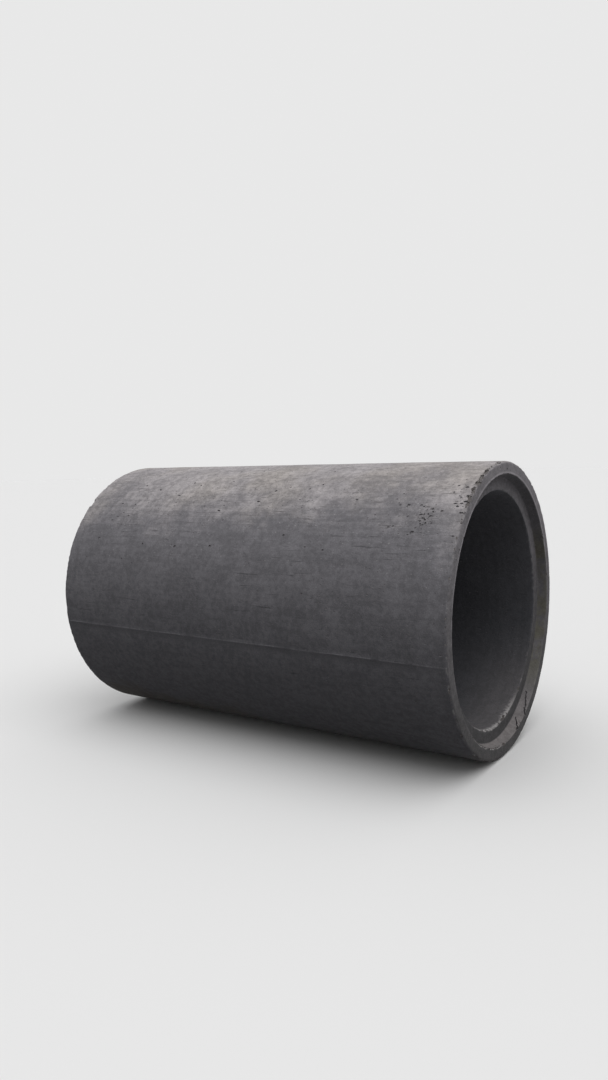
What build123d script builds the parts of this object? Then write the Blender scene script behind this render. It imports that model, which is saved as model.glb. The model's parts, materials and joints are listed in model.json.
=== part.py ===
from build123d import *
import math
import os

# A precast concrete sewer pipe with a tongue-and-groove joint, cast in one piece and laid on its side.
# Its axis lies along X, with the groove end towards +X and the tongue end towards -X.
# The origin is on the ground, under the middle of the pipe's overall length.

# Driving dimensions, in mm and degrees
bore_diameter = 1200.0        # clear inside diameter
wall_thickness = 150.0        # full wall of the barrel
laying_length = 2400.0        # from the groove face to the shoulder behind the tongue

lip_thickness = 67.0          # outer lip round the groove, measured on the groove face
groove_depth = 50.0           # from the groove face to the seat
groove_draft = 15.0           # taper of the groove's wall, from its axis, so that the form draws out

joint_gap = 9.0               # room for mortar between tongue and groove, measured square to the axis
joint_end_gap = 5.0           # room for mortar between the tongue's end and the seat

lip_edge_radius = 12.0        # worn round on the outer edge of the groove face
shoulder_edge_radius = 12.0   # worn round on the barrel's edge behind the tongue
groove_edge_radius = 4.0      # inner edge of the groove face
seat_edge_radius = 6.0        # where the seat meets the bore
tongue_edge_radius = 5.0      # both edges of the tongue's end
corner_radius = 3.0           # root of the tongue and root of the groove

seam_angle = 10.0             # how far the form's joint lies below the level of the axis, on the front
seam_height = 2.0             # fin of grout that bled through the form's joint
seam_width = 9.0              # the fin's foot
seam_sink = 1.0               # how deep the fin's foot is set in the barrel
seam_end_margin = 10.0        # plain barrel between a fin's end and the rounded edge

# Sizes that follow
bore_radius = bore_diameter / 2
barrel_radius = bore_radius + wall_thickness
axis_height = barrel_radius
tongue_length = groove_depth - joint_end_gap
overall_length = laying_length + tongue_length
taper = math.tan(math.radians(groove_draft))

face_x = overall_length / 2
seat_x = face_x - groove_depth
shoulder_x = face_x - laying_length
tongue_x = shoulder_x - tongue_length

groove_mouth_radius = barrel_radius - lip_thickness
seat_radius = groove_mouth_radius - groove_depth * taper
tongue_root_radius = groove_mouth_radius - joint_gap
tongue_end_radius = tongue_root_radius - tongue_length * taper


def wall_section():
    """Half section of the wall, drawn on the XZ plane about the X axis."""
    corners = [
        (face_x, groove_mouth_radius, groove_edge_radius),
        (face_x, barrel_radius, lip_edge_radius),
        (shoulder_x, barrel_radius, shoulder_edge_radius),
        (shoulder_x, tongue_root_radius, corner_radius),
        (tongue_x, tongue_end_radius, tongue_edge_radius),
        (tongue_x, bore_radius, tongue_edge_radius),
        (seat_x, bore_radius, seat_edge_radius),
        (seat_x, seat_radius, corner_radius),
    ]
    with BuildSketch(Plane.XZ) as section:
        with BuildLine():
            Polyline(*[(x, r) for x, r, _ in corners], close=True)
        make_face()
        for x, r, edge_radius in corners:
            corner = section.vertices().sort_by_distance(Vector(x, r))[0]
            fillet(corner, edge_radius)
    return section.sketch


def form_seam(angle):
    """One straight fin along the barrel, turned about the axis from the front towards the ground."""
    length = laying_length - lip_edge_radius - shoulder_edge_radius - 2 * seam_end_margin
    middle_x = (face_x - lip_edge_radius + shoulder_x + shoulder_edge_radius) / 2
    foot_radius = barrel_radius - seam_sink
    tip_radius = barrel_radius + seam_height
    with BuildSketch(Plane.YZ.offset(middle_x - length / 2)) as fin:
        with BuildLine():
            Polyline(
                (-foot_radius, -seam_width / 2),
                (-tip_radius, 0),
                (-foot_radius, seam_width / 2),
                close=True,
            )
        make_face()
    bar = extrude(fin.sketch, amount=length)
    return bar.rotate(Axis.X, angle)


def pipe():
    """The whole pipe, lying on the ground."""
    barrel = revolve(wall_section(), Axis.X, 360)
    cast = barrel + form_seam(seam_angle) + form_seam(seam_angle + 180)
    return cast.moved(Location((0, 0, axis_height)))


os.makedirs("parts", exist_ok=True)
export_step(pipe(), "parts/pipe.step")
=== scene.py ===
import json
import math
import random

import bmesh
import bpy
from mathutils import Matrix, Vector, noise


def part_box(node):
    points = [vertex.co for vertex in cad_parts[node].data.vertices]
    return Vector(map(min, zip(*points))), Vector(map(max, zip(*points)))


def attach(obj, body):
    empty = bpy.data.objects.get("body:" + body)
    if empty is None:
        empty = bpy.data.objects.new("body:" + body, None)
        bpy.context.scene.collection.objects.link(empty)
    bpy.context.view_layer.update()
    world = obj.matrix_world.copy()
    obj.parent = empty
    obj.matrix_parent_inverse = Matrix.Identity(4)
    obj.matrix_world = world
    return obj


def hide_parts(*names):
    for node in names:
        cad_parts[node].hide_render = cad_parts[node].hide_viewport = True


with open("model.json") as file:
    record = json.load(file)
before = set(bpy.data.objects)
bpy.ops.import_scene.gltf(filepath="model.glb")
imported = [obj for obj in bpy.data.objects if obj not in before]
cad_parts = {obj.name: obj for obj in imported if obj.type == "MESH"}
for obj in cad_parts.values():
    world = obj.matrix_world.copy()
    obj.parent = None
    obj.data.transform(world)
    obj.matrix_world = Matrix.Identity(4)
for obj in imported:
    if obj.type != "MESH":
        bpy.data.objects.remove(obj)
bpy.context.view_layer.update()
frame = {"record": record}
mounts = {mount["name"]: mount for mount in frame["record"]["mounts"]}

# The pipe's sizes in metres, read from the frame; the joint's walls follow from the lip and the draft
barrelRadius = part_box("pipe")[1].z / 2  # it lies on the floor, so its highest corner gives the diameter
axisHeight = barrelRadius
boreRadius = mounts["bore"]["dims"]["r_mm"] / 1000
faceX = mounts["groove_face"]["pos_m"][0]
seatX = mounts["groove_seat"]["pos_m"][0]
shoulderX = mounts["tongue_joint"]["pos_m"][0]
tongueX = mounts["tongue_end"]["pos_m"][0]
lipThickness = 0.067
jointGap = 0.009
jointDraft = math.tan(math.radians(15))
mouthRadius = barrelRadius - lipThickness
seatRadius = mouthRadius - (faceX - seatX) * jointDraft
tongueRootRadius = mouthRadius - jointGap
tongueEndRadius = tongueRootRadius - (shoulderX - tongueX) * jointDraft
barrelSide = mouthRadius + 0.02  # further out than this is the barrel
boreSide = boreRadius + 0.002  # and closer in than this is the bore
samePlace = 0.0001  # points closer than this are one


# Selecting and placing

def makeActive(piece):
    if bpy.context.object and bpy.context.object.mode != "OBJECT":
        bpy.ops.object.mode_set(mode="OBJECT")
    bpy.ops.object.select_all(action="DESELECT")
    piece.select_set(True)
    bpy.context.view_layer.objects.active = piece


def pick(kind, test):
    bpy.ops.mesh.select_mode(type=kind)
    bpy.ops.mesh.select_all(action="DESELECT")
    mesh = bmesh.from_edit_mesh(bpy.context.object.data)
    parts = {"VERT": mesh.verts, "EDGE": mesh.edges}[kind]
    for part in parts:
        if test(part):
            part.select_set(True)
    bmesh.update_edit_mesh(bpy.context.object.data)


def startTrace(place):  # a lone point in edit mode, to be drawn out into a line
    bpy.ops.object.select_all(action="DESELECT")
    bpy.ops.mesh.primitive_plane_add(size=0.01, location=place)
    piece = bpy.context.object
    bpy.ops.object.transform_apply(location=True)
    bpy.ops.object.mode_set(mode="EDIT")
    bpy.ops.mesh.select_mode(type="VERT")
    bpy.ops.mesh.select_all(action="SELECT")
    bpy.ops.mesh.merge(type="CENTER")
    return piece


def drawThrough(places):
    for here, there in zip(places, places[1:]):
        bpy.ops.mesh.extrude_region_move(TRANSFORM_OT_translate={"value": there - here})


def around(x, radius, degrees):  # a place on the pipe; degrees run from the top towards the front
    turn = math.radians(degrees)
    return Vector((x, -radius * math.sin(turn), axisHeight + radius * math.cos(turn)))


def outwardAt(degrees):
    return around(0, 1, degrees) - around(0, 0, 0)


def radiusOf(place):
    return math.hypot(place.y, place.z - axisHeight)


def degreesOf(place):
    return math.degrees(math.atan2(-place.y, place.z - axisHeight))


def triangles(piece):
    return sum(len(face.vertices) - 2 for face in piece.data.polygons)


# Shader arithmetic: a wire is one output of a node, and sums on wires add nodes

class Wire:
    def __init__(self, sheet, socket):
        self.sheet = sheet
        self.socket = socket

    def other(self, output):
        return Wire(self.sheet, self.socket.node.outputs[output])

    def sum(self, operation, first, second):
        return self.sheet.add("ShaderNodeMath", {"operation": operation}, {0: first, 1: second})

    def __add__(self, other):
        return self.sum("ADD", self, other)

    def __radd__(self, other):
        return self.sum("ADD", other, self)

    def __sub__(self, other):
        return self.sum("SUBTRACT", self, other)

    def __rsub__(self, other):
        return self.sum("SUBTRACT", other, self)

    def __mul__(self, other):
        return self.sum("MULTIPLY", self, other)

    def __rmul__(self, other):
        return self.sum("MULTIPLY", other, self)

    def __truediv__(self, other):
        return self.sum("DIVIDE", self, other)

    def __pow__(self, other):
        return self.sum("POWER", self, other)


class Sheet:  # the nodes of one finish, or of the world
    def __init__(self, owner):
        self.owner = owner
        owner.use_nodes = True
        self.tree = owner.node_tree
        self.tree.nodes.clear()

    def add(self, kind, settings=None, values=None, output=0):
        node = self.tree.nodes.new(kind)
        for name, value in (settings or {}).items():
            setattr(node, name, value)
        for name, value in (values or {}).items():
            if isinstance(value, Wire):
                self.tree.links.new(value.socket, node.inputs[name])
            else:
                node.inputs[name].default_value = value
        return Wire(self, node.outputs[output]) if len(node.outputs) else None

    def place(self):
        return self.add("ShaderNodeTexCoord", output="Object")

    def part(self, place, axis):
        return self.add("ShaderNodeSeparateXYZ", None, {0: place}, axis)

    def attribute(self, name):
        return self.add("ShaderNodeAttribute", {"attribute_name": name}, None, "Fac")

    def stretched(self, place, scale, shift=(0, 0, 0)):
        return self.add("ShaderNodeMapping", None, {"Vector": place, "Scale": scale, "Location": shift})

    def noise(self, place, scale, detail, rough, warp=0.0):
        values = {"Vector": place, "Scale": scale, "Detail": detail, "Roughness": rough, "Distortion": warp}
        return self.add("ShaderNodeTexNoise", None, values, "Fac")

    def cells(self, place, scale):
        return self.add("ShaderNodeTexVoronoi", None, {"Vector": place, "Scale": scale}, "Distance")

    def chance(self, cells):  # each cell's own number, from 0 to 1
        return self.add("ShaderNodeSeparateColor", None, {0: cells.other("Color")}, "Red")

    def rise(self, value, start, end):  # 0 before start, 1 after end, smooth between
        values = {"Value": value, "From Min": start, "From Max": end}
        return self.add("ShaderNodeMapRange", {"interpolation_type": "SMOOTHSTEP"}, values)

    def blend(self, share, first, second):
        return self.add("ShaderNodeMix", {"data_type": "RGBA"}, {0: share, 6: first, 7: second}, 2)

    def tint(self, share, colour, glaze):
        settings = {"data_type": "RGBA", "blend_type": "MULTIPLY"}
        return self.add("ShaderNodeMix", settings, {0: share, 6: colour, 7: glaze}, 2)

    def shade(self, colour, amount, low, high):  # times low where amount is 0, times high where it is 1
        grey = self.blend(amount, (low, low, low, 1), (high, high, high, 1))
        return self.tint(1.0, colour, grey)

    def dots(self, place, size, crowding, rarity):  # a spot in some of the cells
        cells = self.cells(place, 1)
        spot = 1 - self.rise(cells, 0.12, size)
        return spot * self.rise(self.chance(cells) + crowding, rarity, rarity + 0.04)

    def bump(self, millimetres):
        values = {"Strength": 1.0, "Distance": 0.001, "Height": millimetres}
        return self.add("ShaderNodeBump", None, values, "Normal")

    def finish(self, colour, roughness, normal, gloss):
        values = {"Base Color": colour, "Roughness": roughness, "Normal": normal,
                  "Specular IOR Level": gloss}
        shader = self.add("ShaderNodeBsdfPrincipled", None, values)
        self.add("ShaderNodeOutputMaterial", None, {"Surface": shader})
        return self.owner


# The concrete's finishes

concrete = {
    "top": (0.300, 0.281, 0.290, 1),  # dry and pale, washed by rain
    "topPale": (0.392, 0.368, 0.376, 1),
    "topTint": (1.0, 0.985, 0.93, 1),  # warms the top in patches
    # the flank and the damp low down are damp, and painted darker and bluer as shade too
    "shadedFlank": (0.186, 0.180, 0.194, 1),
    "dampInShade": (0.104, 0.102, 0.112, 1),
    "soil": (0.085, 0.074, 0.062, 1),
    "chalk": (0.53, 0.51, 0.51, 1),
    "endPale": (0.260, 0.246, 0.262, 1),
    # the end face's low side is damp, and painted darker as shade too
    "endDampInShade": (0.090, 0.087, 0.089, 1),
    "grooveWall": (0.165, 0.159, 0.170, 1),
    # the groove's floor is dusty, and painted paler as light where it faces up
    "grooveFloorDustAndLight": (0.205, 0.190, 0.190, 1),
    # the seat is painted dark as shade in the recess
    "seat": (0.060, 0.059, 0.064, 1),
    "algae": (0.110, 0.103, 0.062, 1),
    # the bore is painted darker as shade, and damp low down; its floor by the mouths is dusty and painted
    # paler as light
    "bore": (0.160, 0.160, 0.176, 1),
    "boreDampInShade": (0.068, 0.069, 0.077, 1),
    "boreDustAndLight": (0.128, 0.120, 0.125, 1),
    "wornEdgeHighlight": (0.36, 0.345, 0.345, 1),  # worn edges, painted paler also as a highlight
    # the dark of holes, pores and cracks, painted shade in the hollows
    "holeShade": (0.120, 0.112, 0.117, 1),
    # broken faces, dark with age and painted darker as shade
    "brokenAgedAndShaded": (0.190, 0.175, 0.172, 1),
    "stones": (0.32, 0.30, 0.29, 1),
    "seamAngle": 100,  # degrees from the top to the form seam at the front
    "seamHighlight": (0.0018, 0.0045),  # the painted highlight's half width, and where it has faded out
    "seamShadow": (0.010, 0.05),  # the painted shadow under it starts to fade, and is gone
    "mouthHighlight": (0.009, 0.015),  # the worn line round the mouth, painted paler as a highlight on its upper half, in the same way
    "collar": (0.11, 0.20),  # the paler band behind the mouth, in the same way
}


class CastSheet(Sheet):  # with where a spot lies on the pipe, and the patterns that run over all of it
    def __init__(self, owner):
        super().__init__(owner)
        spot = self.place()
        self.spot = spot
        self.along = self.part(spot, "X")
        self.across = self.along.other("Y")
        self.lift = self.along.other("Z") - axisHeight
        self.radius = (self.across * self.across + self.lift * self.lift) ** 0.5
        self.upness = self.lift / self.radius  # 1 along the top, -1 along the ground

        self.clouds = self.noise(spot, 1.3, 4, 0.55)
        self.drift = self.clouds - 0.5
        self.blotch = self.noise(spot, 6.5, 6, 0.62, 0.5)
        self.mottle = self.noise(spot, 34, 6, 0.7)
        self.grain = self.noise(spot, 190, 3, 0.7)
        self.combed = self.noise(self.stretched(spot, (2.0, 46, 46)), 1, 5, 0.62, 0.15)
        dashes = self.noise(self.stretched(spot, (6, 105, 105), (2, 7, 4)), 1, 3, 0.5)
        self.dashes = self.rise(dashes + self.rise(self.upness, 0.1, 0.8) * 0.035, 0.645, 0.72)

        self.pitted = self.attribute("pitted")
        self.scaly = self.noise(self.stretched(spot, (40, 70, 70), (1, 2, 8)), 1, 4, 0.6)
        patches = self.rise(self.noise(spot, 5.2, 3, 0.6), 0.50, 0.66)
        self.crowding = patches * 0.3 + self.pitted * 0.4
        self.pores = self.dots(self.stretched(spot, (48, 66, 66)), 0.26, self.crowding, 0.86)


def barrelTone(sheet):  # pale along the top; damp down the sides and painted darker and bluer there as shade; soiled near the ground
    upness, clouds, drift = sheet.upness, sheet.clouds, sheet.drift
    blotch, mottle, combed = sheet.blotch, sheet.mottle, sheet.combed
    tone = sheet.rise(clouds * 0.4 + blotch * 0.35 + mottle * 0.25, 0.40, 0.60)
    top = sheet.blend(tone, concrete["top"], concrete["topPale"])
    warm = sheet.noise(sheet.stretched(sheet.spot, (1, 1, 1), (5, 3, 1)), 2.1, 3, 0.5)
    top = sheet.tint(sheet.rise(warm, 0.45, 0.65), top, concrete["topTint"])
    runs = sheet.noise(sheet.stretched(sheet.spot, (44, 3.0, 3.0)), 1, 5, 0.62, 0.3)
    # darker towards the ground: damp, with painted shade in the flank and damp colours
    lowDown = upness + (runs - 0.5) * 0.2 + (blotch - 0.5) * 0.4 + drift * 0.5
    shadedFlank = sheet.blend(sheet.rise(lowDown, 0.70, -0.35), concrete["shadedFlank"], concrete["dampInShade"])
    # the pale upper side, against the damp and painted shade below
    dryAndLit = sheet.rise(upness + (blotch - 0.5) * 0.5 + drift * 1.1 + (combed - 0.5) * 0.25, 0.44, 0.96)
    barrel = sheet.blend(dryAndLit, shadedFlank, top)

    barrel = sheet.shade(barrel, sheet.rise(mottle * 0.6 + blotch * 0.4, 0.40, 0.60), 0.87, 1.06)
    barrel = sheet.shade(barrel, sheet.rise(combed * 0.5 + mottle * 0.5, 0.42, 0.56), 0.92, 1.03)
    barrel = sheet.shade(barrel, sheet.dashes * sheet.rise(blotch, 0.42, 0.58), 1.0, 0.58)
    chalky = sheet.noise(sheet.stretched(sheet.spot, (6, 42, 42), (8, 1, 6)), 1, 4, 0.55)
    barrel = sheet.blend(sheet.rise(chalky, 0.66, 0.74) * dryAndLit * 0.55, barrel, concrete["chalk"])
    start, end = concrete["collar"]
    collar = sheet.rise(sheet.along + drift * 0.1, faceX - end, faceX - start)
    collar = collar * sheet.rise(sheet.along, faceX - 0.01, faceX - 0.06)
    barrel = sheet.shade(barrel, collar, 1.0, 1.1)
    soiled = sheet.rise(sheet.lift + drift * 0.5 + (blotch - 0.5) * 0.35, -0.52, -0.72)
    return sheet.blend(soiled * 0.7, barrel, concrete["soil"])


def seamTone(sheet, barrel):  # the form seam's ridge, with a painted highlight along it and a painted shadow under it
    turn = math.radians(concrete["seamAngle"])
    offSeam = sheet.across * -math.cos(turn) - sheet.lift * math.sin(turn)
    wander = offSeam + (sheet.blotch - 0.5) * 0.004
    width, faded = concrete["seamHighlight"]
    seamHighlight = 1 - sheet.rise(wander * wander, width ** 2, faded ** 2)
    fading, gone = concrete["seamShadow"]
    # a painted shadow under the ridge, and a painted highlight along its top
    shadowUnderSeam = sheet.rise(wander, 0.002, 0.006) * (1 - sheet.rise(wander, fading, gone))
    barrel = sheet.shade(barrel, shadowUnderSeam * sheet.rise(sheet.mottle, 0.35, 0.6), 1.0, 0.78)
    return sheet.shade(barrel, seamHighlight * sheet.rise(sheet.blotch, 0.35, 0.5), 1.0, 1.35)


def endTone(sheet):  # from dry at the top to damp near the ground, painted darker there as shade, with a painted highlight round the mouth
    upness, blotch, mottle = sheet.upness, sheet.blotch, sheet.mottle
    # darker towards the ground: damp, and painted shade
    dryAndLit = sheet.rise(upness + (mottle - 0.5) * 0.5 + (blotch - 0.5) * 0.8, -0.85, 1.0)
    ends = sheet.blend(dryAndLit, concrete["endDampInShade"], concrete["endPale"])
    ends = sheet.shade(ends, sheet.rise(mottle * 0.6 + blotch * 0.4, 0.38, 0.62), 0.8, 1.1)
    # a painted highlight along the worn mouth edge, on its upper half only
    width, faded = concrete["mouthHighlight"]
    worn = sheet.rise(sheet.radius + (mottle - 0.5) * 0.010, mouthRadius + faded, mouthRadius + width)
    worn = worn * sheet.rise(sheet.along, faceX - 0.012, faceX - 0.004) * sheet.rise(upness, -0.5, 0.5)
    return sheet.shade(ends, worn, 1.0, 1.7)


def grooveTone(sheet):  # the recess of the joint, with algae on its far side, a floor paler with dust and painted light, and a seat painted dark as shade
    upness, blotch, mottle = sheet.upness, sheet.blotch, sheet.mottle
    # the floor low down: dust, and painted light where it faces up
    low = sheet.rise(upness + (blotch - 0.5) * 0.2, -0.65, -0.97)
    wall = sheet.blend(low, concrete["grooveWall"], concrete["grooveFloorDustAndLight"])
    farSide = sheet.rise(sheet.across, 0.30, 0.50) * sheet.rise(upness, -0.95, -0.5)
    farSide = farSide * (1 - sheet.rise(upness, 0.35, 0.65))
    stained = farSide * sheet.rise(blotch + mottle * 0.5, 0.58, 0.82)
    wall = sheet.blend(stained * 0.6, wall, concrete["algae"])
    # the seat: painted shade in the recess, lighter towards the top
    onSeat = 1 - sheet.rise(sheet.radius, seatRadius - 0.006, seatRadius - 0.001)
    seat = sheet.shade(concrete["seat"], sheet.rise(upness, -0.9, 0.9), 0.9, 1.2)
    wall = sheet.blend(onSeat, wall, seat)
    return sheet.shade(wall, sheet.rise(mottle, 0.35, 0.65), 0.82, 1.08)


def boreTone(sheet):  # painted shade inside, damp low down; dust and painted light towards both mouths; a crumbled lip painted pale
    upness, drift, blotch, mottle = sheet.upness, sheet.drift, sheet.blotch, sheet.mottle
    # darker than the outside as painted shade, and darker lower down with damp
    bore = sheet.blend(sheet.rise(upness + drift * 0.6, 0.7, -0.5), concrete["bore"], concrete["boreDampInShade"])
    # dust and painted light on the floor towards both mouths
    nearMouth = sheet.rise(sheet.along * sheet.along, 0.75 ** 2, 1.16 ** 2)
    dustyAndLit = nearMouth * sheet.rise(upness + drift * 0.8, -0.35, -0.95)
    bore = sheet.blend(dustyAndLit * 0.8, bore, concrete["boreDustAndLight"])
    rings = sheet.noise(sheet.stretched(sheet.spot, (30, 1.4, 1.4)), 1, 5, 0.6)
    ringed = sheet.rise(rings * 0.3 + mottle * 0.4 + blotch * 0.3, 0.42, 0.58)
    bore = sheet.shade(bore, ringed, 0.86, 1.06)
    # a crumbled lip along the bottom, painted pale as a highlight where it faces up
    crumbs = sheet.noise(sheet.spot, 62, 4, 0.6)
    lip = sheet.along + (crumbs - 0.5) * 0.06 + (blotch - 0.5) * 0.05
    lip = sheet.rise(lip, seatX - 0.030, seatX - 0.004) * sheet.rise(upness, -0.80, -0.96)
    return sheet.blend(lip * 0.85, bore, concrete["wornEdgeHighlight"])


def wornTone(sheet, colour):  # where an edge has lost its corner: paler with wear, and painted paler as a highlight, strongest along the bottom
    worn = sheet.rise(sheet.attribute("wear"), 0.0004, 0.003)
    worn = worn * sheet.rise(sheet.mottle + (sheet.upness + 1) * 0.08, 0.36, 0.6)
    # the painted highlight is strongest on the bottom edges
    strength = 0.5 + sheet.rise(sheet.upness, -0.5, -0.9) * 0.4
    return sheet.blend(worn * strength, colour, concrete["wornEdgeHighlight"])


def poreTone(sheet, colour):  # open pores painted dark as shade, flecks painted as highlights, scales painted lit and shaded; thickest in pitted patches
    # the scales are painted lighter where they stand up and darker in their hollows, as light and shade
    scalesLitAndShaded = sheet.shade(colour, sheet.rise(sheet.scaly, 0.40, 0.58), 0.62, 1.12)
    colour = sheet.blend(sheet.pitted * 0.8, colour, scalesLitAndShaded)
    fleckHighlights = sheet.stretched(sheet.spot, (50, 75, 75), (4, 4, 4))
    fleckHighlights = sheet.dots(fleckHighlights, 0.28, sheet.crowding * 0.6, 0.88)
    # pale flecks on the upper side, painted highlights round the pits
    colour = sheet.blend(fleckHighlights * sheet.rise(sheet.upness, -0.2, 0.8) * 0.35, colour, concrete["chalk"])
    colour = sheet.blend(sheet.pores * 0.7, colour, concrete["holeShade"])
    return sheet.shade(colour, sheet.rise(sheet.grain, 0.30, 0.70), 0.82, 1.1)


def castFinish():
    sheet = CastSheet(bpy.data.materials.new("castConcrete"))
    along, radius = sheet.along, sheet.radius
    inGroove = 1 - sheet.rise(radius, mouthRadius + 0.001, mouthRadius + 0.005)
    inGroove = inGroove * sheet.rise(along, seatX - 0.002, seatX + 0.003)
    outside = sheet.rise(radius, barrelRadius - 0.014, barrelRadius - 0.004)
    inBore = 1 - sheet.rise(radius, boreRadius + 0.003, boreRadius + 0.010)
    colour = sheet.blend(inGroove, endTone(sheet), grooveTone(sheet))
    colour = sheet.blend(outside, colour, seamTone(sheet, barrelTone(sheet)))
    colour = sheet.blend(inBore, colour, boreTone(sheet))
    colour = poreTone(sheet, wornTone(sheet, colour))

    relief = sheet.mottle * 2.0 + sheet.grain * 0.5 + sheet.combed * 0.4 + sheet.blotch * 1.5
    relief = relief + sheet.pitted * sheet.scaly * 2.5 - sheet.pores * 1.2 - sheet.dashes * 0.6
    roughness = 0.93 - sheet.rise(sheet.mottle, 0.4, 0.7) * 0.09
    return sheet.finish(colour, roughness, sheet.bump(relief), gloss=0.35)


def brokenFinish():
    sheet = Sheet(bpy.data.materials.new("brokenConcrete"))
    place = sheet.place()
    lift = sheet.part(place, "Z") - axisHeight
    stones = sheet.cells(place, 75)
    crumbs = sheet.noise(place, 160, 5, 0.7)
    stony = sheet.rise(sheet.chance(stones), 0.45, 0.7) * (1 - sheet.rise(stones, 0.38, 0.5))
    colour = sheet.blend(stony, concrete["brokenAgedAndShaded"], concrete["stones"])
    # darker in the low crumbs and lower down on the pipe: painted shade
    colour = sheet.shade(colour, sheet.rise(crumbs, 0.3, 0.7), 0.55, 1.1)
    colour = sheet.shade(colour, sheet.rise(lift, -0.7, 0.2), 0.6, 1.0)
    relief = crumbs * 2.5 - stones * 2.0
    return sheet.finish(colour, roughness=0.95, normal=sheet.bump(relief), gloss=0.25)


# bug holes and cracks painted dark inside, as shade in the hollows
def holeFinish():
    sheet = Sheet(bpy.data.materials.new("holeShadeConcrete"))
    holeMottle = sheet.noise(sheet.place(), 90, 3, 0.6)
    colour = sheet.blend(sheet.rise(holeMottle, 0.35, 0.7), concrete["holeShade"], concrete["shadedFlank"])
    return sheet.finish(colour, roughness=0.95, normal=sheet.bump(holeMottle), gloss=0.2)


castConcrete = castFinish()
brokenConcrete = brokenFinish()
holeShadeConcrete = holeFinish()
print("finishes made")


# The casting, traced as a wall section and spun about the pipe's axis

cast = {
    "steps": 240,  # faces round the pipe
    "cornerCuts": 4,  # faces in each rounded corner of the wall
    "seamHeight": 0.002,
    "seamWidth": 0.009,
    "seamInset": 0.03,  # the seams stop this far from both ends of the barrel
    "rimDepth": 0.05,  # how far the close mesh runs in from the groove
    "shoulderDepth": 0.02,  # and along the barrel from the tongue's shoulder
    "cuts": 1,  # more cuts round both ends, so that their edges can wear
    "ringSlack": 0.0004,  # how far the radius may change along an edge that runs round the pipe
    "wave": 0.0025,  # how far the form was out of true
    "sliver": 0.000001,  # thinner than this is dissolved after the cuts
    "smoothAngle": 32,
}


def traceWall():
    rim = cast["rimDepth"]
    outline = [  # along x, radius, rounding, how closely the line to the next corner is divided
        (faceX, barrelRadius, 0.012, 0.006),
        (faceX, mouthRadius, 0.004, 0.006),
        (seatX, seatRadius, 0.003, 0.008),
        (seatX, boreRadius, 0.006, 0.010),
        (seatX - rim, boreRadius, 0, 0.1),
        (tongueX + rim, boreRadius, 0, 0.02),
        (tongueX, boreRadius, 0.005, 0.016),
        (tongueX, tongueEndRadius, 0.005, 0.015),
        (shoulderX, tongueRootRadius, 0.003, 0.016),
        (shoulderX, barrelRadius, 0.012, 0.016),
        (shoulderX + rim, barrelRadius, 0, 0.05),
        (faceX - rim, barrelRadius, 0, 0.006),
    ]
    places = [around(x, radius, concrete["seamAngle"]) for x, radius, rounding, spacing in outline]
    wall = startTrace(places[0])
    drawThrough(places)
    bpy.ops.mesh.select_all(action="SELECT")
    bpy.ops.mesh.edge_face_add()
    for place, (x, radius, rounding, spacing) in zip(places, outline):
        if rounding:
            pick("VERT", lambda vert: (vert.co - place).length < samePlace)
            bpy.ops.mesh.bevel(affect="VERTICES", offset=rounding, segments=cast["cornerCuts"])
    nextPlaces = places[1:] + places[:1]
    for here, there, (x, radius, rounding, spacing) in zip(places, nextPlaces, outline):
        middle = (here + there) / 2
        length = (here - there).length
        reach = max(0.01, length * 0.05)
        pick("EDGE", lambda edge: ((edge.verts[0].co + edge.verts[1].co) / 2 - middle).length < reach
             and edge.calc_length() > length * 0.6)
        bpy.ops.mesh.subdivide(number_cuts=max(1, round(length / spacing) - 1))
    bpy.ops.mesh.select_all(action="SELECT")
    bpy.ops.mesh.delete(type="ONLY_FACE")
    return wall


def spinWall():
    bpy.ops.mesh.select_all(action="SELECT")
    bpy.ops.mesh.spin(steps=cast["steps"], angle=math.tau, center=(0, 0, axisHeight), axis=(1, 0, 0))
    bpy.ops.mesh.select_all(action="SELECT")
    bpy.ops.mesh.remove_doubles(threshold=samePlace)
    bpy.ops.mesh.normals_make_consistent(inside=False)


def raiseSeams():
    inset = cast["seamInset"]
    seamDirections = [outwardAt(concrete["seamAngle"] + half) for half in (0, 180)]

    def onSeam(place):
        outward = place - Vector((place.x, 0, axisHeight))
        return any((outward - direction * barrelRadius).length < 0.001 for direction in seamDirections)

    pick("EDGE", lambda edge: onSeam(edge.verts[0].co) and onSeam(edge.verts[1].co)
         and faceX - inset > edge.verts[0].co.x > shoulderX + inset)
    bpy.ops.mesh.bevel(offset=cast["seamWidth"] / 2, segments=2, affect="EDGES", profile=0.5)
    inset += 0.005  # the last points stay flush, so that the ridge runs out
    mesh = bmesh.from_edit_mesh(bpy.context.object.data)
    for vert in mesh.verts:
        if onSeam(vert.co) and faceX - inset > vert.co.x > shoulderX + inset:
            ragged = noise.noise(Vector((vert.co.x * 9, vert.co.y, 3))) + 0.6
            outward = vert.co - Vector((vert.co.x, 0, axisHeight))
            vert.co += outward.normalized() * cast["seamHeight"] * min(1, max(0.1, ragged))
    bmesh.update_edit_mesh(bpy.context.object.data)


def closeMesh():
    def nearEnd(place):
        atGroove = place.x > seatX - cast["rimDepth"] - 0.001
        return atGroove or place.x < shoulderX + cast["shoulderDepth"]

    def roundPipe(edge):
        first, second = edge.verts[0].co, edge.verts[1].co
        climb = abs(radiusOf(first) - radiusOf(second))
        return abs(first.x - second.x) < samePlace and climb < cast["ringSlack"]

    pick("EDGE", lambda edge: nearEnd(edge.verts[0].co) and nearEnd(edge.verts[1].co) and roundPipe(edge))
    bpy.ops.mesh.subdivide(number_cuts=cast["cuts"])


pipe = traceWall()
pipe.name = "castPipe"
spinWall()
raiseSeams()
closeMesh()
makeActive(pipe)
print("casting", triangles(pipe), "triangles")


# Worn edges: each corner of the wall is taken back, more where it crumbled

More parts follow.
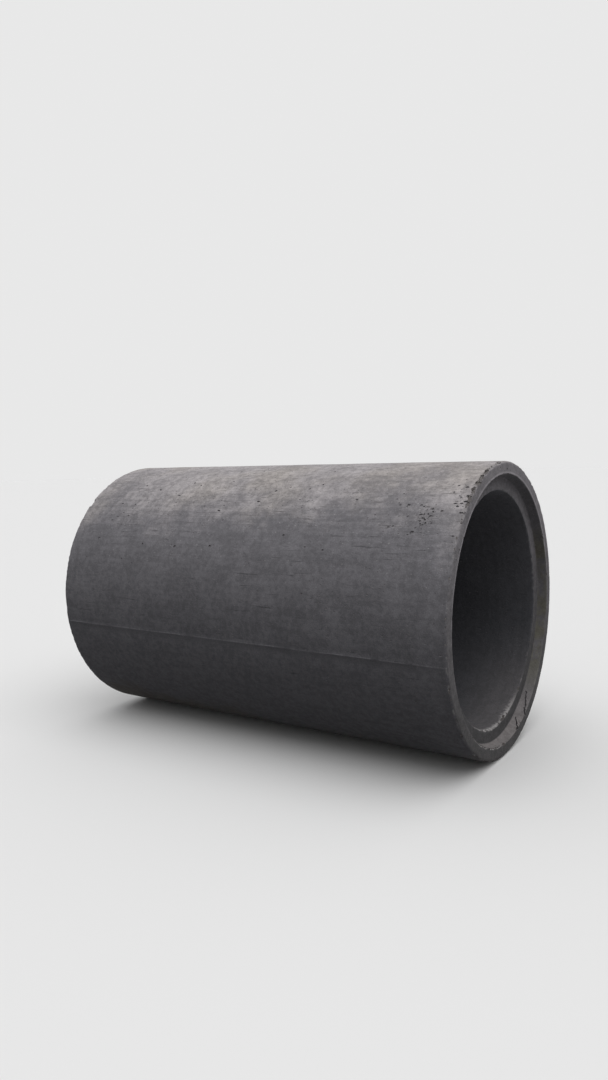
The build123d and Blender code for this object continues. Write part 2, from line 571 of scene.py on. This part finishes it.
edges = {  # way: from the corner out of the concrete, along x and along the radius
    "rim": {"x": faceX, "radius": barrelRadius, "way": (1, 1), "worn": 0.009, "ragged": 0.005},
    "mouth": {"x": faceX, "radius": mouthRadius, "way": (1, -1), "worn": 0.003, "ragged": 0.003},
    "bore": {"x": seatX, "radius": boreRadius, "way": (1, -1), "worn": 0.005, "ragged": 0.004},
    "shoulder": {"x": shoulderX, "radius": barrelRadius, "way": (-1, 1), "worn": 0.009, "ragged": 0.005},
    "tongue": {"x": tongueX, "radius": tongueEndRadius, "way": (-1, 1), "worn": 0.005, "ragged": 0.004},
    "tongueBore": {"x": tongueX, "radius": boreRadius, "way": (-1, -1), "worn": 0.004, "ragged": 0.004},
}
crumbled = [  # edge, from and to degrees from the top towards the front, how much more is lost
    ("rim", 2, 54, 0.006),
    ("mouth", 137, 183, 0.006),
    ("bore", 155, 203, 0.008),
]
wearing = {
    "within": 0.06,  # nothing further than this from a corner is worn
    "ragged": 34,  # about how many waves the ragged wear has in a metre
    "bites": 21,  # the same where it crumbled
    "grit": 130,
    "gritDepth": 0.35,
}


def moreLost(name, place, degrees):
    lost = 0
    for where, start, end, more in crumbled:
        share = (degrees - start) % 360 / (end - start)
        if name == where and share < 1:
            bitten = 0.7 + noise.noise(place * wearing["bites"])
            lost += more * bitten * math.sin(math.pi * share) ** 0.4
    return lost


def wearEdges(piece):
    wear = piece.data.attributes.new("wear", "FLOAT", "POINT")
    for vert in piece.data.vertices:
        x, radius, degrees = vert.co.x, radiusOf(vert.co), degreesOf(vert.co)
        lost = 0
        for name, edge in edges.items():
            inX = (edge["x"] - x) * edge["way"][0]
            inRadius = (edge["radius"] - radius) * edge["way"][1]
            if not (-0.001 < inX < wearing["within"] and -0.001 < inRadius < wearing["within"]):
                continue
            ragged = noise.fractal(vert.co * wearing["ragged"], 0.9, 2.1, 4) * edge["ragged"]
            reach = edge["worn"] + ragged + moreLost(name, vert.co, degrees)
            shift = (reach - inX - inRadius) / 2
            if shift > 0:
                rough = 1 + wearing["gritDepth"] * noise.noise(vert.co * wearing["grit"])
                x -= edge["way"][0] * shift * rough
                radius -= edge["way"][1] * shift * rough
                lost = max(lost, shift)
        vert.co = around(x, radius, degrees)
        wear.data[vert.index].value = lost


def waveSurface(piece):  # the form's walls were never quite true, and wear only takes away
    for vert in piece.data.vertices:
        radius, degrees = radiusOf(vert.co), degreesOf(vert.co)
        broad = noise.noise(vert.co * 1.7) * 0.5 + noise.noise(vert.co * 6.1) * 0.35 + 0.5
        inward = cast["wave"] * min(1, max(0, broad))
        if radius > barrelSide:
            radius -= inward
        elif radius < boreSide:
            radius += inward
        vert.co = around(vert.co.x, radius, degrees)


wearEdges(pipe)
waveSurface(pipe)
print("edges worn")


# Broken edges and bug holes: odd stones are pressed into the casting and cut out of it

oddStones = {
    "shapes": 5,  # how many different ones there are to choose from
    "lumps": 1.2,  # the higher, the more lumps on one
    "twist": 0.3,  # radians that one may lie askew
}

chips = {
    "seed": 42,
    "rows": [  # edge, from degrees, to degrees, how many, smallest and largest radius
        ("rim", 3, 20, 16, 0.003, 0.007),
        ("rim", 19, 43, 30, 0.004, 0.011),
        ("rim", 26, 29, 3, 0.008, 0.013),
        ("rim", 43, 60, 8, 0.003, 0.006),
        ("rim", 60, 178, 14, 0.003, 0.007),
        ("rim", -178, -2, 22, 0.004, 0.013),
        ("mouth", -180, 180, 22, 0.003, 0.008),
        ("mouth", 139, 181, 16, 0.004, 0.009),
        ("bore", -180, 180, 14, 0.003, 0.008),
        ("bore", 157, 201, 9, 0.004, 0.013),
        ("shoulder", -60, 62, 24, 0.006, 0.016),
        ("shoulder", 62, 300, 18, 0.004, 0.012),
        ("tongue", -180, 180, 26, 0.004, 0.012),
        ("tongueBore", -180, 180, 10, 0.004, 0.009),
    ],
    "mostlySmall": 1.8,  # the higher, the fewer large ones
    "tilt": 0.3,
    "wide": (0.9, 2.8),  # times the radius
    "sunk": (-0.6, 0.0),  # how far its middle lies below the surface, times the radius
    "fineFrom": 0.009,  # larger ones get a finer mesh
}

holes = {
    "seed": 23,
    "marked": [  # along x, degrees from the top towards the front, radius
        (0.77, 15, 0.005), (0.89, 42, 0.005), (1.00, 42, 0.005), (1.00, 54, 0.0075), (0.98, 55, 0.004),
        (1.03, 46, 0.004), (1.03, 48, 0.005), (1.05, 50, 0.005), (1.08, 50, 0.005), (1.07, 45, 0.005),
        (1.03, 51, 0.004), (0.88, 41, 0.004), (0.86, 39, 0.004), (0.88, 36, 0.004), (1.13, 35, 0.005),
        (1.16, 41, 0.005), (1.19, 41, 0.005), (1.207, 40, 0.007), (1.206, 37, 0.006), (1.20, 55, 0.004),
    ],
    "drifts": [  # along x, degrees, spread along x, spread in degrees, how many
        (1.045, 47.5, 0.030, 2.6, 60),
        (0.96, 45, 0.07, 6, 22),
        (1.17, 38, 0.02, 5, 24),
        (0.35, 44, 0.22, 10, 46),
        (-0.35, 34, 0.25, 13, 46),
        (-0.85, 52, 0.16, 11, 46),
        (0.2, -50, 0.5, 24, 60),
    ],
    "scattered": 150,  # more of them all over the barrel, on the groove's face and in the bore
    "endFace": 26,
    "bore": 50,
    "boreFrom": 0.2,  # along x, up to the groove; the rest of the bore has none
    "small": 0.0019,
    "large": 0.0062,
    "mostlySmall": 2.6,
    "wide": (0.9, 2.2),
    "sunk": (-0.3, 0.15),
    "dents": 0.0038,  # smaller ones are shallower, by dentLift times their radius
    "dentLift": 0.32,
    "fineFrom": 0.0042,
    "roughness": 0.08,  # how rough the surface is where the drifts are thick
}


def makeLumps(steps, rough):
    lumps = []
    for number in range(oddStones["shapes"]):
        bpy.ops.object.select_all(action="DESELECT")
        bpy.ops.mesh.primitive_ico_sphere_add(subdivisions=steps, radius=1)
        lump = bpy.context.object
        for vert in lump.data.vertices:
            spot = vert.co * oddStones["lumps"] + Vector((number * 9, 0, 0))
            vert.co *= 1 + rough * noise.noise(spot) + rough * 0.35 * noise.noise(spot * 3)
        lumps.append(lump)
    return lumps


def pressInto(piece, spots, draw, finish, steps, rough):
    lumps = makeLumps(steps, rough)
    gathered = bmesh.new()
    for place, outward, tangent, size, wide, sunk in spots:
        outward = outward.normalized()
        side = outward.cross(tangent).normalized()
        turned = Matrix((side.cross(outward), side, outward)).transposed().to_4x4()
        turned = turned @ Matrix.Rotation(draw.gauss(0, oddStones["twist"]), 4, "Z")
        centre = Matrix.Translation(place - outward * size * sunk)
        copy = draw.choice(lumps).data.copy()
        copy.transform(centre @ turned @ Matrix.Diagonal((size * wide, size, size, 1)))
        gathered.from_mesh(copy)
        bpy.data.meshes.remove(copy)
    for lump in lumps:
        bpy.data.objects.remove(lump)
    mesh = bpy.data.meshes.new("stones")
    gathered.to_mesh(mesh)
    gathered.free()
    cutter = bpy.data.objects.new("stones", mesh)
    bpy.context.scene.collection.objects.link(cutter)
    cutter.data.materials.append(finish)
    subtract(piece, cutter)


def subtract(piece, cutter):
    makeActive(piece)
    cut = piece.modifiers.new("cut", "BOOLEAN")
    cut.operation = "DIFFERENCE"
    cut.solver = "MANIFOLD"
    cut.object = cutter
    cut.material_mode = "TRANSFER"
    bpy.ops.object.modifier_apply(modifier=cut.name)
    bpy.data.objects.remove(cutter)


def chipEdges(piece):
    draw = random.Random(chips["seed"])
    small, large = [], []
    for name, start, end, count, smallest, largest in chips["rows"]:
        edge = edges[name]
        for number in range(count):
            degrees = draw.uniform(start, end)
            size = smallest + (largest - smallest) * draw.random() ** chips["mostlySmall"]
            outward = Vector((edge["way"][0], 0, 0)) + outwardAt(degrees) * edge["way"][1]
            outward += Vector([draw.gauss(0, chips["tilt"]) for axis in "XYZ"])
            corner = around(edge["x"], edge["radius"], degrees)
            found, surface, normal, face = piece.closest_point_on_mesh(corner)
            wide, sunk = draw.uniform(*chips["wide"]), draw.uniform(*chips["sunk"])
            spot = (surface, outward, outwardAt(degrees + 90), size, wide, sunk)
            (large if size > chips["fineFrom"] else small).append(spot)
    pressInto(piece, small, draw, brokenConcrete, steps=2, rough=0.5)
    pressInto(piece, large, draw, brokenConcrete, steps=3, rough=0.55)
    print("chips", len(small) + len(large))


def markPitted(piece):  # where the surface round the bug holes is rough
    pitted = piece.data.attributes.new("pitted", "FLOAT", "POINT")
    for vert in piece.data.vertices:
        degrees, share = degreesOf(vert.co), 0
        if radiusOf(vert.co) > barrelSide:
            for x, middle, spreadX, spreadDegrees, count in holes["drifts"]:
                apart = ((vert.co.x - x) / spreadX) ** 2 + ((degrees - middle) / spreadDegrees) ** 2
                most = min(1, holes["roughness"] / (spreadX * spreadDegrees))
                share += math.exp(-apart / 2) * most
        pitted.data[vert.index].value = min(1, share)


def spreadHoles(draw):  # where each should be, which way it is long, and its radius
    lengthwise = Vector((1, 0, 0))

    def anySize():
        return holes["small"] + (holes["large"] - holes["small"]) * draw.random() ** holes["mostlySmall"]

    spread = [(around(x, barrelRadius, degrees), lengthwise, size) for x, degrees, size in holes["marked"]]
    for x, degrees, spreadX, spreadDegrees, count in holes["drifts"]:
        for number in range(count):
            place = around(draw.gauss(x, spreadX), barrelRadius, draw.gauss(degrees, spreadDegrees))
            spread.append((place, lengthwise, anySize()))
    for number in range(holes["scattered"]):
        place = around(draw.uniform(shoulderX, faceX), barrelRadius, draw.uniform(-180, 180))
        spread.append((place, lengthwise, anySize()))
    for number in range(holes["endFace"]):
        degrees = draw.uniform(-180, 180)
        place = around(faceX, draw.uniform(mouthRadius + 0.01, barrelRadius - 0.015), degrees)
        spread.append((place, outwardAt(degrees + 90), anySize()))
    for number in range(holes["bore"]):
        place = around(draw.uniform(holes["boreFrom"], seatX), boreRadius, draw.uniform(-180, 180))
        spread.append((place, lengthwise, anySize()))
    return spread


def cutHoles(piece):
    draw = random.Random(holes["seed"])
    small, large = [], []
    for place, tangent, size in spreadHoles(draw):
        onEndFace = abs(place.x - faceX) < samePlace
        if not onEndFace and not shoulderX + 0.02 < place.x < faceX - 0.012:
            continue  # too near an edge
        found, surface, normal, face = piece.closest_point_on_mesh(place)
        wide, sunk = draw.uniform(*holes["wide"]), draw.uniform(*holes["sunk"])
        if size < holes["dents"]:
            sunk -= holes["dentLift"]
        spot = (surface, normal, tangent, size, wide, sunk)
        (large if size > holes["fineFrom"] else small).append(spot)
    pressInto(piece, small, draw, holeShadeConcrete, steps=1, rough=0.35)
    pressInto(piece, large, draw, holeShadeConcrete, steps=2, rough=0.5)
    print("bug holes", len(small) + len(large))


# Cracks: each is a thin bent blade, cut out of the casting

cracks = {
    "paths": [  # along x, radius, degrees from the top towards the front
        [(1.189, 0.674, -141.5), (1.199, 0.677, -145.5), (1.207, 0.679, -149), (1.2155, 0.681, -152.6),
         (faceX, 0.688, -155.5), (faceX, 0.701, -156.8), (faceX, 0.732, -159.8)],
        [(1.186, 0.6735, -158), (1.195, 0.676, -160), (1.2025, 0.678, -161.3), (1.2156, 0.681, -163.9),
         (faceX, 0.690, -165.6)],
    ],
    "step": 0.009,
    "width": 0.0065,
    "depth": 0.020,
    "clear": 0.006,  # how far the blade stands out of the surface
    "jitter": 0.0014,
    "crumb": 0.0045,  # the largest bits lost beside a crack
    "crumbShare": 0.6,  # how many of the steps have lost one
    "seed": 9,
}


def divide(path):
    corners = [around(x, radius, degrees) for x, radius, degrees in path]
    line = []
    for here, there in zip(corners, corners[1:]):
        pieces = max(2, round((there - here).length / cracks["step"]))
        line += [here.lerp(there, step / pieces) for step in range(pieces)]
    return line + [corners[-1]]


def makeBlade(above, below):
    def liesOn(edge, places):
        return all(min((vert.co - place).length for place in places) < 0.0002 for vert in edge.verts)

    blade = startTrace(above[0])
    drawThrough(above)
    outline = below[::-1]
    bpy.ops.mesh.extrude_region_move(TRANSFORM_OT_translate={"value": outline[0] - above[-1]})
    drawThrough(outline)
    pick("EDGE", lambda edge: liesOn(edge, above) or liesOn(edge, below))
    bpy.ops.mesh.bridge_edge_loops()
    bpy.ops.object.mode_set(mode="OBJECT")
    thick = blade.modifiers.new("thick", "SOLIDIFY")
    thick.thickness = cracks["width"]
    thick.offset = 0
    bpy.ops.object.modifier_apply(modifier=thick.name)
    # the crack's walls take the holes' finish, painted dark as shade
    blade.data.materials.append(holeShadeConcrete)
    return blade


def cutCracks(piece):
    draw = random.Random(cracks["seed"])
    crumbs = []
    for path in cracks["paths"]:
        line = divide(path)
        above, below = [], []
        for index, place in enumerate(line):
            found, surface, normal, face = piece.closest_point_on_mesh(place)
            wobble = Vector([draw.gauss(0, 1) for axis in "XYZ"]) * cracks["jitter"]
            deep = cracks["depth"] * math.sqrt(math.sin(math.pi * (index + 0.5) / len(line)))
            above.append(surface + wobble + normal * cracks["clear"])
            below.append(surface + wobble - normal * deep)
            size = cracks["crumb"] * draw.uniform(0.4, 1)
            if draw.random() < cracks["crumbShare"]:
                wide = draw.uniform(1.2, 2.2)
                crumbs.append((surface + wobble * 2, normal, line[-1] - line[0], size, wide, 0.1))
        subtract(piece, makeBlade(above, below))
    pressInto(piece, crumbs, draw, brokenConcrete, steps=1, rough=0.45)
    print("cracks", len(cracks["paths"]))


def dropSlivers(piece):  # what the cuts leave where two of them meet
    makeActive(piece)
    bpy.ops.object.mode_set(mode="EDIT")
    bpy.ops.mesh.select_all(action="SELECT")
    bpy.ops.mesh.dissolve_degenerate(threshold=cast["sliver"])
    bpy.ops.object.mode_set(mode="OBJECT")
    piece.data.validate()


pipe.data.materials.append(castConcrete)
markPitted(pipe)
chipEdges(pipe)
cutHoles(pipe)
cutCracks(pipe)
dropSlivers(pipe)
bpy.ops.object.shade_smooth_by_angle(angle=math.radians(cast["smoothAngle"]))
print("cut casting", triangles(pipe), "triangles")

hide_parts("pipe")
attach(pipe, "root")


# Floor, light and camera

studio = {
    "floorRadius": 90,
    "floorSeen": (0.776, 0.776, 0.776, 1),
    "floorBounce": (0.12, 0.12, 0.12, 1),  # what the floor gives back to the pipe, as bare ground would
    "backdrop": (0.8085, 0.8085, 0.8085, 1),
    "horizonLight": 0.23,
    "overheadLight": 0.85,
    "sun": 1.25,
    "sunSpread": 70,  # degrees across, for a soft light
    "sunFrom": (0.26, -0.22, 1),
}


def seenDirectly(sheet):  # by the camera, in a reflection or through glass
    rays = sheet.add("ShaderNodeLightPath", output="Is Camera Ray")
    bent = rays.sum("MAXIMUM", rays.other("Is Glossy Ray"), rays.other("Is Transmission Ray"))
    return rays.sum("MAXIMUM", rays, bent)


def layFloor():
    bpy.ops.object.select_all(action="DESELECT")
    bpy.ops.mesh.primitive_circle_add(vertices=96, radius=studio["floorRadius"], fill_type="NGON")
    floor = bpy.context.object
    floor.name = "floor"
    sheet = Sheet(bpy.data.materials.new("floorPaint"))
    colour = sheet.blend(seenDirectly(sheet), studio["floorBounce"], studio["floorSeen"])
    floor.data.materials.append(sheet.finish(colour, roughness=0.9, normal=(0, 0, 0), gloss=0.2))


def lightDome():  # brighter overhead, and plain behind the pipe
    bpy.context.scene.world = bpy.data.worlds.new("studio")
    sheet = Sheet(bpy.context.scene.world)
    height = sheet.part(sheet.add("ShaderNodeTexCoord", output="Generated"), "Z")
    more = studio["overheadLight"] - studio["horizonLight"]
    strength = studio["horizonLight"] + sheet.rise(height, 0, 1) * more
    dome = sheet.add("ShaderNodeBackground", None, {"Color": (1, 1, 1, 1), "Strength": strength})
    backdrop = sheet.add("ShaderNodeBackground", None, {"Color": studio["backdrop"], "Strength": 1.0})
    mixed = sheet.add("ShaderNodeMixShader", None, {0: seenDirectly(sheet), 1: dome, 2: backdrop})
    sheet.add("ShaderNodeOutputWorld", None, {"Surface": mixed})


def hangSun():
    bpy.ops.object.light_add(type="SUN", location=(3, -3, 6))
    sun = bpy.context.object
    sun.data.energy = studio["sun"]
    sun.data.angle = math.radians(studio["sunSpread"])
    sun.rotation_euler = Vector(studio["sunFrom"]).to_track_quat("Z", "Y").to_euler()


view = {
    "eye": (2.601, -3.931, 1.526),
    "lens": 27.2,
    "heading": 33.3,  # degrees left of straight across the pipe
    "down": 5.6,  # degrees, as is the roll
    "roll": -1.38,
    "farthest": 400,
}


def placeCamera():
    heading, down, roll = (math.radians(view[key]) for key in ("heading", "down", "roll"))
    look = Vector((-math.sin(heading) * math.cos(down), math.cos(heading) * math.cos(down), -math.sin(down)))
    levelRight = look.cross(Vector((0, 0, 1))).normalized()
    levelUp = levelRight.cross(look)
    right = levelRight * math.cos(roll) + levelUp * math.sin(roll)
    up = levelUp * math.cos(roll) - levelRight * math.sin(roll)
    camera = bpy.data.objects.new("camera", bpy.data.cameras.new("camera"))
    bpy.context.scene.collection.objects.link(camera)
    camera.matrix_world = Matrix.Translation(view["eye"]) @ Matrix((right, up, -look)).transposed().to_4x4()
    camera.data.lens = view["lens"]
    camera.data.clip_end = view["farthest"]
    bpy.context.scene.camera = camera


layFloor()
lightDome()
hangSun()
placeCamera()
bpy.context.scene.view_settings.view_transform = "Standard"
print("studio set")
